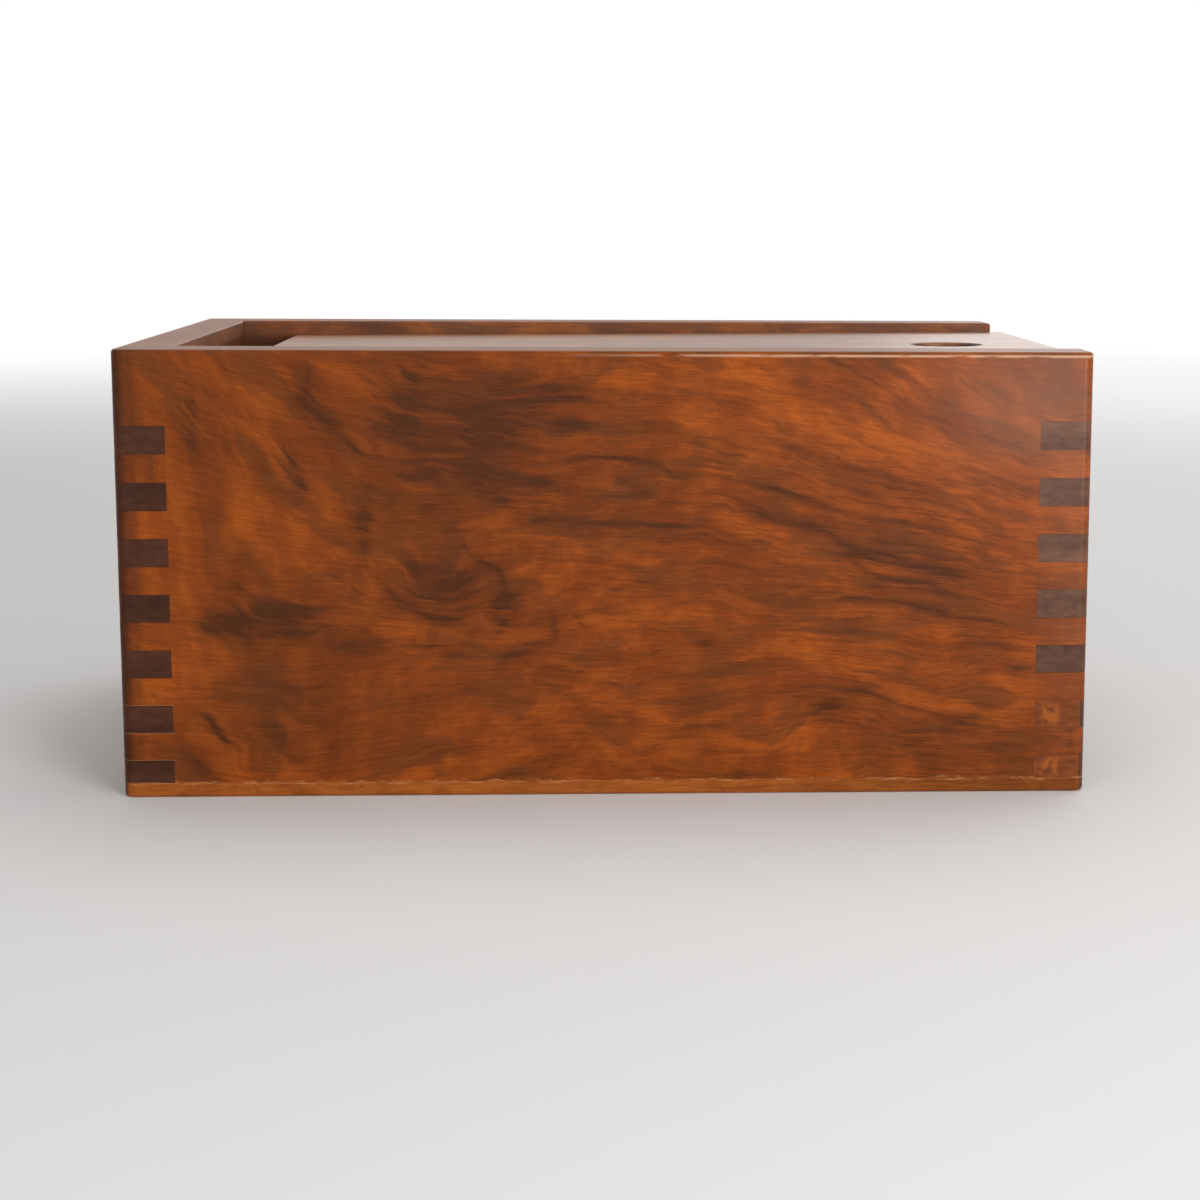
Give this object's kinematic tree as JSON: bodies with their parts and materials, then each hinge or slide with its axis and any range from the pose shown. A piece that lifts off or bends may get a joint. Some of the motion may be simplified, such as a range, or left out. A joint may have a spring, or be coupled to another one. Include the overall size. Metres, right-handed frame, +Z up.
{
  "type": "chess piece box",
  "caption": "Finger-jointed hardwood storage box for chess pieces, with a sliding lid that has a round finger hole and runs out over a low end panel.",
  "frame": {"origin": "centre of the underside, where the box rests", "axes": "+X along the box towards the end where the lid slides out, -Y towards the front panel, +Z up"},
  "size_m": [0.2938, 0.188, 0.135],
  "materials": {
    "panel_wood": "satin lacquer over golden rosewood, grain along the board",
    "end_wood": "satin lacquer, dark end grain on the finger ends",
    "bottom_wood": "satin lacquer, lighter board",
    "lid_wood": "satin lacquer, grain along the slide",
    "pin_steel": "plain wire"
  },
  "bodies": {
    "carcass": {"front_panel": "panel_wood", "back_panel": "panel_wood", "left_end_panel": "end_wood", "right_end_panel": "end_wood", "bottom_board": "bottom_wood", "bottom_pins": "pin_steel"},
    "lid": {"sliding_lid": "lid_wood"}
  },
  "joints": [
    {"name": "lid_slide", "type": "slide", "parent": "carcass", "child": "lid", "axis": [1, 0, 0], "range_m": [-0.019, 0.245]}
  ]
}
